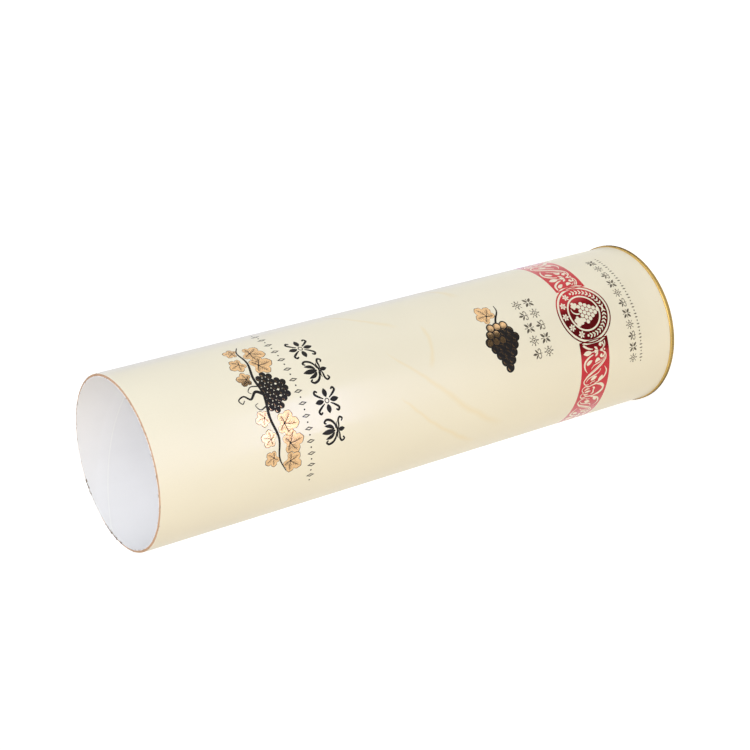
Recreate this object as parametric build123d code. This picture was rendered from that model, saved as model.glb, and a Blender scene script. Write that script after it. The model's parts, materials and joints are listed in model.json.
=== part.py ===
# Wine bottle tube: a wound board tube, open at the top, with a tinplate end seamed to its foot.
#
# The tube stands on the seam of its metal end. The origin is the centre of the foot, on the surface
# that it stands on, +Z is up, and the front of the print faces -Y. Lengths are millimetres.
# Every piece is a section drawn in the plane of radius (x) and height (y), and turned round +Z.
from build123d import *
from math import cos, degrees, radians, sin, tan
import os

# Tube
inside_diameter = 89.0  # bore that takes the bottle
liner_paper = 0.2  # thickness of the white paper inside
board_wall = 1.1  # thickness of the wound brown board
wrap_paper = 0.2  # thickness of the printed paper outside
tube_height = 332.5  # foot to the highest edge of the mouth
mouth_bevel = 0.5  # how far the knife-cut mouth drops from its inner to its outer edge
wrap_lap = 9.0  # width of the glued lap at the back of the wrap

# Foot of the paper wall, belled by the chuck wall and then flared for the seam
chuck_taper = 2.0  # degrees
flare_angle = 13.0  # degrees
flare_height = 1.7
chuck_clearance = 0.3  # straight bore left above the top of the metal end

# Seam of the metal end
tinplate = 0.25  # sheet thickness
crown_radius = 0.4  # inside bends of the crown that the tube stands on
flange_clearance = 0.08  # between the flared foot and the seam's outer wall
lip_radius = 0.3  # inside bend of the curled lip
lip_clearance = 0.1  # from the start of the flare up to the underside of the lip
bend_flats = (0, 0.5)  # where the short flats that draw each bend start, as shares of its arc

# Panel of the metal end, as heights above the foot of the sheet's upper face
panel_height = 3.4
countersink_height = 5.2  # crest of the ring between the panel and the chuck wall
countersink_width = 2.6  # flat of that ring, from the chuck wall inwards
countersink_slope = 0.6  # run of the ring's inner side
countersink_radius = 0.6  # bends on both sides of that flat
bead_radius = 31.0  # centre line of the stiffening bead
bead_width = 4.0
bead_rise = 0.7
bead_slope = 1.0  # run of each side of the bead

# What follows from the sizes above
bore_radius = inside_diameter / 2
board_inside = liner_paper  # depths into the wall, from its inner face
board_outside = board_inside + board_wall
wall = board_outside + wrap_paper
taper, flare = radians(chuck_taper), radians(flare_angle)
foot_height = tinplate + crown_radius * (1 - sin(flare))  # where the flared wall is cut off
flare_start = foot_height + flare_height
taper_start = countersink_height + chuck_clearance
flare_radius = bore_radius + (taper_start - flare_start) * tan(taper)
foot_radius = flare_radius + flare_height * tan(flare)
seam_radius = foot_radius + wall * cos(flare) + flange_clearance


def mouth_height(depth):
    """Height of the bevelled mouth at a depth into the wall."""
    return tube_height - mouth_bevel * depth / wall


def wall_face(depth):
    """Corners of the wall's face at a depth from its inner face, from the mouth to the cut foot.

    Faces at two depths stay parallel, because each corner moves along the mitre of its bend.
    """
    middle = (taper + flare) / 2
    mitre = depth / cos((flare - taper) / 2)
    return [
        Vector(bore_radius + depth, mouth_height(depth)),
        Vector(bore_radius + depth, taper_start + depth * tan(taper / 2)),
        Vector(flare_radius + mitre * cos(middle), flare_start + mitre * sin(middle)),
        Vector(foot_radius + depth * cos(flare), foot_height + depth * sin(flare)),
    ]


lip_height = wall_face(wall)[2].Y + lip_clearance  # underside of the lip
seam_top = lip_height + tinplate


def turned(section, angle=360):
    """The solid that a section in the radius and height plane makes when it is turned round +Z."""
    return revolve(Plane.XZ * section, Axis.Z, angle)


def layer_section(inner_depth, outer_depth):
    """One layer of the wall, which shares its faces with the layers beside it."""
    outline = Polyline(*wall_face(inner_depth), *reversed(wall_face(outer_depth)), close=True)
    return make_face(outline)


def bent(corners, bend_radii):
    """A line with its corners rounded, each round being drawn as short flats for a light mesh."""
    rounded = FilletPolyline(*corners, radius=bend_radii)
    points = []
    for edge in rounded.edges():
        starts = bend_flats if edge.geom_type == GeomType.CIRCLE else [0]
        points += [edge @ start for start in starts]
    return Polyline(*points, rounded @ 1)


def inner_liner():
    return turned(layer_section(0, board_inside))


def board_tube():
    return turned(layer_section(board_inside, board_outside))


def printed_wrap():
    """The outer paper, with the second thickness of its glued lap on the back, above the seam."""
    lap_outside = wall + wrap_paper
    above_seam = Pos(bore_radius, seam_top) * Rectangle(tube_height, tube_height, align=Align.MIN)
    lap_angle = degrees(wrap_lap / (bore_radius + wall))
    lap = turned(layer_section(wall, lap_outside) & above_seam, lap_angle)
    return turned(layer_section(board_outside, wall)) + Rot(0, 0, 90 - lap_angle / 2) * lap


def metal_end():
    """One pressed sheet, drawn along its upper face from the axis out, down, and up to the lip."""
    chuck_top = bore_radius + chuck_clearance * tan(taper)
    crown_corner = foot_radius + (foot_height - tinplate) * tan(flare)
    ring_edge = bore_radius - countersink_width
    bead_inside = bead_radius - bead_width / 2
    bead_outside = bead_radius + bead_width / 2
    bead_crest = panel_height + bead_rise
    pressed_panel = [
        (0, panel_height),
        (bead_inside, panel_height),
        (bead_inside + bead_slope, bead_crest),
        (bead_outside - bead_slope, bead_crest),
        (bead_outside, panel_height),
    ]
    countersink = [
        (ring_edge - countersink_slope, panel_height),
        (ring_edge, countersink_height),
        (chuck_top, countersink_height),
    ]
    seam = [
        (flare_radius, flare_start),
        (crown_corner, tinplate),
        (seam_radius, tinplate),
        (seam_radius, lip_height),
        (wall_face(wall)[2].X, lip_height),
    ]
    bend_radii = [0] * len(pressed_panel)
    bend_radii += [countersink_radius, countersink_radius]
    bend_radii += [0, crown_radius, crown_radius, lip_radius]
    upper_face = bent(pressed_panel + countersink + seam, bend_radii)
    sheet = offset(upper_face.wire(), tinplate, kind=Kind.INTERSECTION, side=Side.RIGHT)
    return turned(make_face(sheet.wire()))


pieces = {
    "board_tube": board_tube(),
    "printed_wrap": printed_wrap(),
    "inner_liner": inner_liner(),
    "metal_end": metal_end(),
}
os.makedirs("parts", exist_ok=True)
for name, piece in pieces.items():
    export_step(piece, f"parts/{name}.step")
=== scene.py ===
import json
import math

import bmesh
import bpy
import numpy as np
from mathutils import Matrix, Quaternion, Vector


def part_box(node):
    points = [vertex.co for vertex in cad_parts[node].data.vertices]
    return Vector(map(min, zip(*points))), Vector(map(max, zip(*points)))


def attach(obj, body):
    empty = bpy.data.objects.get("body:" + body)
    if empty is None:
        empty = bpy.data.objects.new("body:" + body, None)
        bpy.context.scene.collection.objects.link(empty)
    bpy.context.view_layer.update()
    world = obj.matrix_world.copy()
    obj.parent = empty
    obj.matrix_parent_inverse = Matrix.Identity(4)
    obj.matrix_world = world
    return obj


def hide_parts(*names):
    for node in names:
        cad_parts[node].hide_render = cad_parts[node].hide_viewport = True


bl_info = {
    "name": "Wine bottle tube",
    "version": (1, 0, 0),
    "blender": (4, 5, 0),
    "location": "3D View > Sidebar > Bottle tube",
    "description": "Printed paper, cut board, white liner and gold tin end for a packed bottle tube",
    "category": "Object",
}

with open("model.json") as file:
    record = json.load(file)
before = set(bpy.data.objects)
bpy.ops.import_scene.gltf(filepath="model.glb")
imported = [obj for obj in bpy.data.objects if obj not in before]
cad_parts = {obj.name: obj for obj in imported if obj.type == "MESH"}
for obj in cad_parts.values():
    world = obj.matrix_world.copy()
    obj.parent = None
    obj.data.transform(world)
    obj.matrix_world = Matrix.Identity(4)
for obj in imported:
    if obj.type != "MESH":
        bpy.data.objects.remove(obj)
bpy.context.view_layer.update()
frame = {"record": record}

MM = 0.001
TURN = 2 * math.pi
MOUNTS = {mount["name"]: mount for mount in frame["record"]["mounts"]}

# Foot of the wall and the metal end, in metres and radians
TINPLATE = 0.25 * MM
CROWN_RADIUS = 0.4 * MM
LIP_RADIUS = 0.3 * MM
FLANGE_CLEARANCE = 0.08 * MM
LIP_CLEARANCE = 0.1 * MM
CHUCK_CLEARANCE = 0.3 * MM
CHUCK_TAPER = math.radians(2)
FLARE_ANGLE = math.radians(13)
FLARE_HEIGHT = 1.7 * MM
PANEL_HEIGHT = 3.4 * MM
PANEL_BEND = 0.5 * MM
BEAD_RISE = 0.7 * MM
BEAD_FEET = (29 * MM, 33 * MM)
BEAD_CREST = (30 * MM, 32 * MM)
COUNTERSINK_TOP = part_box("metal_end")[1].z
COUNTERSINK_WIDTH = 2.6 * MM
COUNTERSINK_SLOPE = 0.6 * MM
COUNTERSINK_BEND = 0.6 * MM


def number(name, description, default, lowest=0, **more):
    """A number that a user can change."""
    return bpy.props.FloatProperty(name=name, description=description, default=default, min=lowest, **more)


def size(name, description, default):
    """A length that a user can change, in metres."""
    return number(name, description, default, precision=5, unit="LENGTH")


def place(name, description, default):
    """A place that a user can change, in metres."""
    return bpy.props.FloatVectorProperty(
        name=name, description=description, default=default, unit="LENGTH", subtype="XYZ"
    )


def colour(name, description, default):
    """A linear colour that a user can change."""
    return bpy.props.FloatVectorProperty(
        name=name, description=description, default=default, size=3, min=0, max=1, subtype="COLOR"
    )


class TubeSizes(bpy.types.PropertyGroup):
    """Sizes of the tube's layers"""

    height: size("Height", "Foot to the highest edge of the mouth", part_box("inner_liner")[1].z)
    bore_radius: size("Bore radius", "Inside of the liner", MOUNTS["bottle_bore"]["dims"]["r_mm"] * MM)
    liner_paper: size("Liner paper", "Thickness of the white paper inside", 0.2 * MM)
    board_wall: size("Board", "Thickness of the wound board", 1.1 * MM)
    wrap_paper: size("Wrap paper", "Thickness of the printed paper", 0.2 * MM)
    mouth_bevel: size("Mouth bevel", "Drop of the cut mouth from inside to outside", 0.5 * MM)
    wrap_lap: size("Wrap lap", "Width of the glued lap at the back", 9 * MM)
    seam_lead: size("Liner seam lead", "Rise of the liner's spiral joint in one turn", 102 * MM)
    seam_lap: size("Liner seam lap", "Height of the liner's overlap", 7 * MM)
    seam_step: size("Liner seam step", "How far the overlap stands proud", 0.09 * MM)
    ink: size("Ink", "How far ink and foil stand proud of the paper", 0.02 * MM)


class PrintSizes(bpy.types.PropertyGroup):
    """Places and sizes of the print"""

    band_height: size("Band height", "Height of the middle of the red band", 59.0 * MM)
    band_width: size("Band width", "Width of the red band", 20.4 * MM)
    band_repeats: bpy.props.IntProperty(
        name="Band repeats", description="Repeats of the scrollwork round the tube", default=6, min=2
    )
    band_shift: size("Band shift", "Scrollwork's start, from the middle of the seal", 1.4 * MM)
    seal_radius: size("Seal radius", "Radius of the drawn seal, which the gap starts from", 17.7 * MM)
    seal_gap: size("Seal gap", "Bare paper between that radius and the band", 1.1 * MM)


class TubeColours(bpy.types.PropertyGroup):
    """Colours of the tube's materials"""

    cream: colour("Cream paper", "Ground of the printed wrap", (0.875, 0.835, 0.722))
    vein: colour("Vein", "Faint lines printed on the cream", (0.86, 0.73, 0.48))
    red: colour("Red foil", "Band and seal", (0.47, 0.012, 0.020))
    gold: colour("Gold foil", "Leaves of the emblem", (0.74, 0.48, 0.25))
    black: colour("Black ink", "Large ornaments and grapes", (0.010, 0.008, 0.007))
    grey: colour("Grey ink", "Small ornaments", (0.11, 0.095, 0.075))
    board: colour("Board", "Cut edge of the wound board", (0.56, 0.37, 0.25))
    liner: colour("Liner", "White paper inside", (0.942, 0.937, 0.957))
    lacquer: colour("Lacquer", "Gold lacquer on the tinplate", (0.68, 0.46, 0.145))


class StudioSettings(bpy.types.PropertyGroup):
    """Camera and lights"""

    camera_place: place("Camera place", "Where the camera stands", (-0.1837, -0.79076, 0.66664))
    camera_aim: place("Camera aim", "Point in the middle of the picture", (0.008258, -0.001863, 0.173778))
    camera_roll: bpy.props.FloatProperty(
        name="Camera roll", description="Clockwise turn about the view", unit="ROTATION",
        default=math.radians(105.35),
    )
    lens: number("Lens", "Focal length in millimetres on a 36 mm sensor", 83.894, 1)
    ambient: number("Ambient", "Strength of the light from all sides", 0.50)
    floor_tone: number("Floor tone", "How much light the floor returns", 0.60, max=1)
    floor_glow: number("Floor glow", "What lifts the floor to white for the camera", 0.66)
    key_power: number("Key power", "Power of the lamp in front", 31.3, subtype="POWER")
    fill_power: number("Fill power", "Power of the lamp to the right", 17.3, subtype="POWER")
    warm_power: number("Warm power", "Power of the lamp to the left", 16.0, subtype="POWER")
    cool_power: number("Cool power", "Power of the lamp far to the right", 4.6, subtype="POWER")
    card_glow: number("Card glow", "Strength of the bright card that foil mirrors", 15.0)


# Where the liner's spiral joint shows near the mouth: height, and azimuth from -Y towards +X
SEAM_SEEN = (318.3 * MM, math.radians(166.92))

# What shows through thin black ink on the gold foil
OVERPRINTED_GOLD = (0.4, 0.3, 0.15)

# Faint lines on the cream: start and end (arc length, height), sag, and first and last width, in mm.
# The arc lengths are on the radius that follows, and the ripple is how far a line strays.
VEIN_RADIUS = 46 * MM
VEIN_RIPPLE = 7 * MM
VEINS = (
    ((7, 189), (-49, 127), 4.0, (1.2, 5.5)),
    ((-18, 189), (-58, 141), 3.0, (1.0, 4.5)),
    ((18, 160), (-6, 167), -2.0, (1.5, 2.5)),
    ((52, 205), (22, 176), 3.0, (1.0, 3.5)),
    ((70, 150), (34, 128), -3.0, (1.2, 4.0)),
)

# Middle of the seal: arc length from the front, and height above the middle of the band. Then the inner
# and outer radius of its foil rings, and the radius on which its ornaments stand, in mm.
SEAL_ALONG = 0.3 * MM
SEAL_RISE = 0.2 * MM
SEAL_RINGS = ((16.9, 17.7), (10.8, 15.7), (0, 9.8))
SEAL_ORNAMENTS = 13.25

# Ornaments. A stroke is a smooth curve through points in millimetres, then its first, middle and last
# width. Band strokes are measured from the middle of a fleur and from the middle of the band. They are
# drawn for a repeat of 48.17 mm and mirrored about the fleur, and the next repeat completes the flower.
DRAWN_REPEAT = 48.17
FLEUR = (
    (((0, 2.4), (0, 5.2), (0, 8.3)), (0.5, 3.0, 0.1)),
    (((0, 0.3), (0, 2.8)), (0.5, 0.5, 0.5)),
    (((0, -2.4), (0, 0.3)), (0.9, 1.9, 2.0)),
    (((0, -5.8), (0, -3.4)), (0.9, 0.7, 0.2)),
)
SCROLLS = (
    (((0.9, -2.1), (1.9, -1.0), (2.7, 0.1)), (0.3, 1.4, 0.2)),
    (((0.35, -4.0), (0.75, -5.4), (1.9, -6.6), (3.2, -6.4), (3.9, -5.3), (3.6, -4.1), (2.7, -4.0)),
     (0.5, 0.7, 1.5)),
    (((1.6, 1.4), (2.2, 3.6), (3.4, 5.9), (5.0, 7.6), (7.0, 8.0), (9.2, 7.4), (11.3, 5.9)),
     (0.5, 1.3, 0.15)),
    (((6.6, 6.3), (5.6, 4.6), (4.5, 2.4)), (1.2, 2.3, 0.2)),
    (((19.2, 3.9), (18.6, 6.6), (16.4, 7.8), (14.2, 6.0), (12.1, 2.2), (9.9, -1.9), (7.6, -5.3),
      (4.9, -7.5), (2.4, -7.5), (0.9, -6.0)), (0.5, 1.0, 0.5)),
    (((14.9, 7.1), (13.2, 5.6), (11.0, 2.0), (8.9, -1.8), (6.9, -4.7), (4.9, -6.3), (2.9, -6.0)),
     (0.45, 0.45, 0.45)),
    (((9.6, 3.2), (7.9, 1.4), (7.2, -0.8), (6.6, -3.2), (5.3, -5.1)), (0.3, 0.6, 0.3)),
    (((6.3, 0.3), (4.9, -1.6), (5.6, -3.4)), (0.3, 2.2, 0.3)),
    (((17.0, 6.2), (15.2, 4.6), (14.2, 1.6), (13.2, -1.6), (11.8, -3.4), (10.6, -3.8)), (0.4, 0.8, 0.3)),
    (((16.6, 2.9), (15.7, 1.0), (14.9, -1.4)), (0.4, 2.4, 0.3)),
    (((18.9, 3.0), (18.0, 2.0), (17.6, -0.4)), (0.5, 0.5, 0.5)),
    (((18.3, -3.0), (17.0, -4.4), (15.2, -5.6)), (1.0, 2.6, 0.6)),
    (((19.3, -0.4), (18.3, -3.6), (16.9, -6.2), (14.6, -7.8), (12.2, -8.0), (9.6, -6.4)),
     (0.4, 1.1, 0.1)),
    (((24.1, 6.4), (22.5, 7.9), (20.9, 7.6), (20.0, 5.8), (20.6, 3.6), (20.1, 1.0), (19.9, -1.8),
      (20.6, -4.2)), (0.5, 0.8, 0.9)),
    (((20.2, -2.4), (20.9, -5.4), (22.6, -7.4), (24.1, -8.0)), (0.6, 1.9, 1.2)),
    (((22.9, 6.2), (22.0, 4.4), (22.2, 2.4)), (0.3, 1.1, 0.2)),
    (((24.1, -0.6), (22.4, -1.0), (21.6, 0.6)), (0.7, 1.1, 0.2)),
)
FLOWER = ((((24.1, 5.6), (24.1, 1.2)), (0.5, 1.5, 0.3)),)

# Four large ornaments stand in a row. Both designs are mirrored about their upright axis.
PALMETTE = (
    (((0, -1.2), (0, 2.6), (0, 6.8)), (0.7, 3.0, 0.1)),
    (((0.9, -0.7), (2.7, 1.4), (3.5, 4.8)), (0.5, 2.1, 0.1)),
    (((1.0, -1.8), (3.4, -1.3), (5.6, 0.5), (6.4, 3.0), (5.3, 4.5), (4.3, 3.4)), (0.6, 1.4, 0.8)),
    (((0, -2.6), (2.8, -2.2), (4.4, -2.5)), (1.3, 0.9, 0.2)),
    (((0.5, -3.3), (2.6, -3.6), (4.6, -3.6), (6.2, -4.6), (5.4, -6.1), (4.0, -5.4)), (0.6, 1.2, 0.8)),
    (((0, -3.1), (0, -4.9), (0, -6.9)), (0.6, 2.5, 0.1)),
)
ROSETTE = (
    (((0, 1.9), (0, 4.1), (0, 6.8)), (0.5, 2.9, 0.1)),
    (((0, -1.9), (0, -4.1), (0, -6.8)), (0.5, 2.9, 0.1)),
    (((1.9, 0), (4.1, 0), (6.6, 0)), (0.5, 2.9, 0.1)),
    (((1.3, 1.7), (2.8, 4.0), (4.6, 5.9), (6.0, 5.2), (5.2, 4.0)), (0.5, 1.3, 0.9)),
    (((1.3, -1.7), (2.8, -4.0), (4.6, -5.9), (6.0, -5.2), (5.2, -4.0)), (0.5, 1.3, 0.9)),
    (((0, 1.15), (0.85, 0.8), (1.15, 0), (0.85, -0.8), (0, -1.15)), (0.5, 0.5, 0.5)),
)

# Arcs of light on a grape: a strong one above on the left, and a thin one below on the right
GLINTS = (
    (((-0.95, 0.1), (-0.55, 0.8), (0.25, 0.95)), (0.1, 0.34, 0.1)),
    (((1.15, 0.25), (0.95, -0.65), (0.1, -1.15)), (0.08, 0.2, 0.08)),
)

# Small ornaments, about 6 mm tall and mirrored in the same way
SPRIG = (
    (((0, -2.9), (0, 0.2)), (0.4, 0.4, 0.4)),
    (((0, 0.2), (0, 1.5), (0, 3.0)), (0.3, 1.35, 0.1)),
    (((0.3, -0.5), (1.4, 0.5), (2.5, 1.3)), (0.2, 1.05, 0.1)),
    (((0.1, -1.7), (1.2, -2.2), (2.4, -1.7), (2.3, -0.7), (1.6, -0.8)), (0.3, 0.45, 0.45)),
)
LENS = (
    (((0, 1.75), (1.35, 0), (0, -1.75)), (0.35, 0.5, 0.35)),
    (((0, 0.7), (0, -0.7)), (0.2, 0.9, 0.2)),
    (((0, 1.9), (0, 3.0)), (0.3, 0.8, 0.1)),
    (((0, -1.9), (0, -3.0)), (0.3, 0.8, 0.1)),
    (((1.7, 0), (2.9, 0)), (0.3, 0.9, 0.1)),
    (((1.2, 1.3), (2.2, 2.2)), (0.3, 0.35, 0.45)),
    (((1.2, -1.3), (2.2, -2.2)), (0.3, 0.35, 0.45)),
)
CLOVER = (
    (((0.35, 0.35), (1.4, 1.4), (2.5, 2.5)), (0.3, 1.45, 0.15)),
    (((0.35, -0.35), (1.4, -1.4), (2.5, -2.5)), (0.3, 1.45, 0.15)),
    (((0, 1.0), (0, 2.9)), (0.3, 0.35, 0.55)),
    (((0, -1.0), (0, -2.9)), (0.3, 0.35, 0.55)),
    (((1.0, 0), (2.6, 0)), (0.3, 0.35, 0.55)),
)


# Shader maths


class Value:
    """A value that varies over a surface. Arithmetic on numbers adds the Math nodes that work it out."""

    def __init__(self, nodes, socket):
        self.nodes = nodes
        self.socket = socket

    def math(self, operation, other=0.0, clamp=False):
        return self.nodes.math(operation, self, other, clamp)

    def __add__(self, other):
        return self.math("ADD", other)

    def __sub__(self, other):
        return self.math("SUBTRACT", other)

    def __mul__(self, other):
        return self.math("MULTIPLY", other)

    def __pow__(self, other):
        return self.math("POWER", other)

    def __rsub__(self, other):
        return self.nodes.math("SUBTRACT", other, self)

    __radd__ = __add__
    __rmul__ = __mul__


class Nodes:
    """A node tree being made, from an empty one."""

    def __init__(self, tree):
        self.tree = tree
        self.tree.nodes.clear()

    def node(self, kind, settings=None, sockets=None, output=0):
        """Adds a node: its settings first, then the numbers or links of its sockets."""
        made = self.tree.nodes.new(kind)
        for name, value in (settings or {}).items():
            setattr(made, name, value)
        for key, value in (sockets or {}).items():
            if isinstance(value, Value):
                self.tree.links.new(value.socket, made.inputs[key])
            else:
                made.inputs[key].default_value = value
        return Value(self, made.outputs[output]) if made.outputs else made

    def math(self, operation, first, second=0.0, clamp=False):
        settings = {"operation": operation, "use_clamp": clamp}
        return self.node("ShaderNodeMath", settings, {0: first, 1: second})

    def direct_look(self):
        """1 for the camera, mirrors and glass, and 0 for light that bounces off the floor or world."""
        kinds = ("Is Camera Ray", "Is Glossy Ray", "Is Transmission Ray")
        camera, glossy, glass = (self.node("ShaderNodeLightPath", output=kind) for kind in kinds)
        return camera.math("MAXIMUM", glossy.math("MAXIMUM", glass))


class Finish(Nodes):
    """A material being made: a Principled shader, its fixed sockets and the nodes that feed the others."""

    def __init__(self, name, **fixed):
        self.material = bpy.data.materials.new(name)
        self.material.use_nodes = True
        super().__init__(self.material.node_tree)
        sockets = {socket.replace("_", " "): value for socket, value in fixed.items()}
        self.principled = self.node("ShaderNodeBsdfPrincipled", None, sockets)
        self.output = self.node("ShaderNodeOutputMaterial", None, {"Surface": self.principled})

    def place(self):
        """Position on the object."""
        return self.node("ShaderNodeTexCoord", output="Object")

    def parts(self):
        """The three coordinates of the position, as numbers."""
        split = self.node("ShaderNodeSeparateXYZ", sockets={0: self.place()}).socket.node
        return [Value(self, socket) for socket in split.outputs]

    def round_parts(self):
        """The position as an angle from -Y towards +X, a distance from the axis and a height."""
        x, y, z = self.parts()
        return self.math("ARCTAN2", x, 0 - y), (x * x + y * y) ** 0.5, z

    def joined(self, x, y, z):
        return self.node("ShaderNodeCombineXYZ", sockets={0: x, 1: y, 2: z})

    def round_place(self, along, across, up):
        """Position unrolled about the axis, with a stretch for the arc, the radius and the height."""
        angle, radius, height = self.round_parts()
        return self.joined(angle * along, radius * across, height * up)

    def noise(self, scale, detail=2.0, roughness=0.5, place=None):
        sockets = {
            "Vector": place or self.place(), "Scale": scale, "Detail": detail, "Roughness": roughness,
        }
        return self.node("ShaderNodeTexNoise", None, sockets)

    def between(self, value, low, high):
        """0 below low, 1 above high, and a smooth rise between."""
        settings = {"interpolation_type": "SMOOTHSTEP", "clamp": True}
        return self.node("ShaderNodeMapRange", settings, {"Value": value, 1: low, 2: high})

    def mix(self, factor, first, second):
        """A colour between two, each a triple or a Value."""
        sockets = {0: factor}
        for index, tint in ((6, first), (7, second)):
            sockets[index] = tint if isinstance(tint, Value) else (*tint, 1.0)
        return self.node("ShaderNodeMix", {"data_type": "RGBA", "clamp_factor": True}, sockets, 2)

    def feed(self, socket, value):
        self.tree.links.new(value.socket, self.principled.socket.node.inputs[socket])

    def surface(self, tone, roughness, relief, depth):
        """Feeds the colour, the roughness and a relief of that depth in metres, and ends the material."""
        self.feed("Base Color", tone)
        self.feed("Roughness", roughness)
        self.feed("Normal", self.node("ShaderNodeBump", None, {"Distance": depth, "Height": relief}))
        return self.material


def shade(tint, amount):
    """A colour made lighter or darker."""
    return tuple(min(1.0, part * amount) for part in tint)


def soft_veins(finish):
    """How strongly the faint tan lines show: full on each line, and fading over its width.

    A line runs from one place to another on the unrolled wrap, with a sag in its middle.
    """
    angle, _, height = finish.round_parts()
    along = angle * VEIN_RADIUS
    ripple = finish.noise(55.0) * VEIN_RIPPLE
    strongest = along * 0
    for start, end, sag, widths in VEINS:
        share = (along - start[0] * MM) * (1 / ((end[0] - start[0]) * MM))
        inside = share.math("MAXIMUM", 0, clamp=True)
        bow = inside * (1 - inside) * (4 * sag * MM)
        middle = inside * ((end[1] - start[1]) * MM) + bow + start[1] * MM - VEIN_RIPPLE / 2
        gap = (height - middle - ripple).math("ABSOLUTE")
        width = inside * ((widths[1] - widths[0]) * MM) + widths[0] * MM
        shown = (1 - gap.math("DIVIDE", width)).math("MAXIMUM", 0, clamp=True)
        ends = finish.between(share, -0.05, 0.12) * (1 - finish.between(share, 0.85, 1.1))
        strongest = strongest.math("MAXIMUM", shown * ends)
    return strongest


def laminated_paper(name, colours, veined=False):
    """Smooth paper under a satin film, with a faint cloud in its tone and fine fibres under the film."""
    finish = Finish(name, Coat_Weight=0.26, Coat_Roughness=0.17, Specular_IOR_Level=0.25)
    cloud = finish.noise(14.0)
    fibre = finish.noise(1400.0, 3.0, 0.6)
    cream = colours.cream
    tone = finish.mix(finish.between(cloud, 0.35, 0.65), shade(cream, 0.985), shade(cream, 1.01))
    tone = finish.mix(finish.between(fibre, 0.3, 0.8) * 0.35, tone, shade(cream, 0.955))
    if veined:
        tone = finish.mix(soft_veins(finish) * 0.42, tone, colours.vein)
    return finish.surface(tone, 0.40 + fibre * 0.12, fibre, 0.012 * MM)


def stamped_foil(name, tint, dark, film=0.0, rough=0.24, metallic=1.0):
    """Metal foil pressed on paper, bare or under a clear film.

    The paper's fibres roughen it, and its tone is a little uneven.
    """
    finish = Finish(name, Metallic=metallic, Coat_Weight=film, Coat_Roughness=0.12)
    fibre = finish.noise(1700.0, 3.0, 0.6)
    patch = finish.noise(160.0)
    tone = finish.mix(finish.between(patch, 0.3, 0.75) * 0.3, tint, shade(tint, dark))
    tone = finish.mix(finish.between(fibre, 0.45, 0.75) * 0.25, tone, shade(tint, dark))
    return finish.surface(tone, rough + fibre * (rough * 0.65), fibre, 0.014 * MM)


def printed_ink(name, tint, paper, cover):
    """Thick matt ink. Where it is thin the paper's fibres show through."""
    finish = Finish(name, Specular_IOR_Level=0.22)
    fibre = finish.noise(1500.0, 3.0, 0.65)
    tone = finish.mix(finish.between(fibre, cover, 1.0), tint, paper)
    return finish.surface(tone, 0.5 + fibre * 0.14, fibre, 0.01 * MM)


def wound_board(name, board):
    """Grey-brown board: long fibres round the tube, thin lines of glue between the plies, dark specks."""
    finish = Finish(name, Specular_IOR_Level=0.2)
    plies = finish.noise(1.0, 2.0, 0.6, finish.round_place(9.0, 6500.0, 400.0))
    fibre = finish.noise(1.0, 4.0, 0.7, finish.round_place(90.0, 9000.0, 2500.0))
    speck = finish.noise(900.0, 1.0)
    tone = finish.mix(finish.between(plies, 0.35, 0.65), shade(board, 0.78), shade(board, 1.22))
    tone = finish.mix(finish.between(fibre, 0.35, 0.75) * 0.6, tone, shade(board, 1.35))
    tone = finish.mix(finish.between(speck, 0.66, 0.76) * 0.7, tone, shade(board, 0.4))
    return finish.surface(tone, 0.82 + fibre * 0.15, fibre, 0.06 * MM)


def liner_paper(name, white):
    """Plain white paper with a soft tooth, rubbed a little in long streaks."""
    finish = Finish(name, Specular_IOR_Level=0.35)
    fibre = finish.noise(1100.0, 4.0, 0.65)
    streak = finish.noise(1.0, 3.0, 0.6, finish.round_place(3.0, 1.0, 14.0))
    tone = finish.mix(finish.between(streak, 0.35, 0.7) * 0.5, white, shade(white, 0.965))
    tone = finish.mix(finish.between(fibre, 0.5, 0.8) * 0.3, tone, shade(white, 0.93))
    return finish.surface(tone, 0.50 + fibre * 0.2, fibre, 0.02 * MM)


def lacquered_tinplate(gold):
    """Gold lacquer over rolled tinplate: rolling lines along X, and lacquer worn thin where it stands."""
    finish = Finish(
        "lacquered_tinplate", Metallic=1.0, Specular_Tint=(0.10, 0.12, 0.25, 1.0), Coat_Weight=0.15,
        Coat_Roughness=0.12,
    )
    x, y, z = finish.parts()
    rolled = finish.noise(1.0, 3.0, 0.6, finish.joined(x * 25.0, y * 2600.0, z * 400.0))
    cloud = finish.noise(60.0)
    tone = finish.mix(finish.between(cloud, 0.35, 0.65), shade(gold, 0.9), shade(gold, 1.12))
    tone = finish.mix(finish.between(rolled, 0.45, 0.8) * 0.35, tone, shade(gold, 0.7))
    scuff = finish.noise(700.0, 3.0, 0.7)
    worn = (1 - finish.between(z, 0.02 * MM, 0.22 * MM)) * finish.between(scuff, 0.42, 0.62)
    tone = finish.mix(worn * 0.6, tone, (0.62, 0.50, 0.36))
    return finish.surface(tone, 0.2 + rolled * 0.14 + worn * 0.2, rolled, 0.01 * MM)


# Meshes from grids


def grid_faces(rows, columns, loop_rows=False, loop_columns=False):
    """Quads between neighbouring points of a grid numbered row by row; a loop joins last to first."""
    row = np.arange(rows if loop_rows else rows - 1)[:, None] * columns
    below = (np.arange(1, len(row) + 1)[:, None] % rows) * columns
    column = np.arange(columns if loop_columns else columns - 1)
    beside = (column + 1) % columns
    return np.stack([row + column, row + beside, below + beside, below + column], -1).reshape(-1, 4)


def strip_faces(rows, columns):
    """Faces of a closed strip: quads between its rows, each of which is a loop, and both of its ends."""
    last = (rows - 1) * columns
    ends = [list(range(columns))[::-1], list(range(last, last + columns))]
    return grid_faces(rows, columns, False, True).tolist() + ends


def around(radius, angle, height):
    """Points at a radius from the axis, an angle from -Y towards +X, and a height."""
    radius, angle, height = np.broadcast_arrays(radius, angle, height)
    return np.stack([radius * np.sin(angle), -radius * np.cos(angle), height], -1).reshape(-1, 3)


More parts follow.
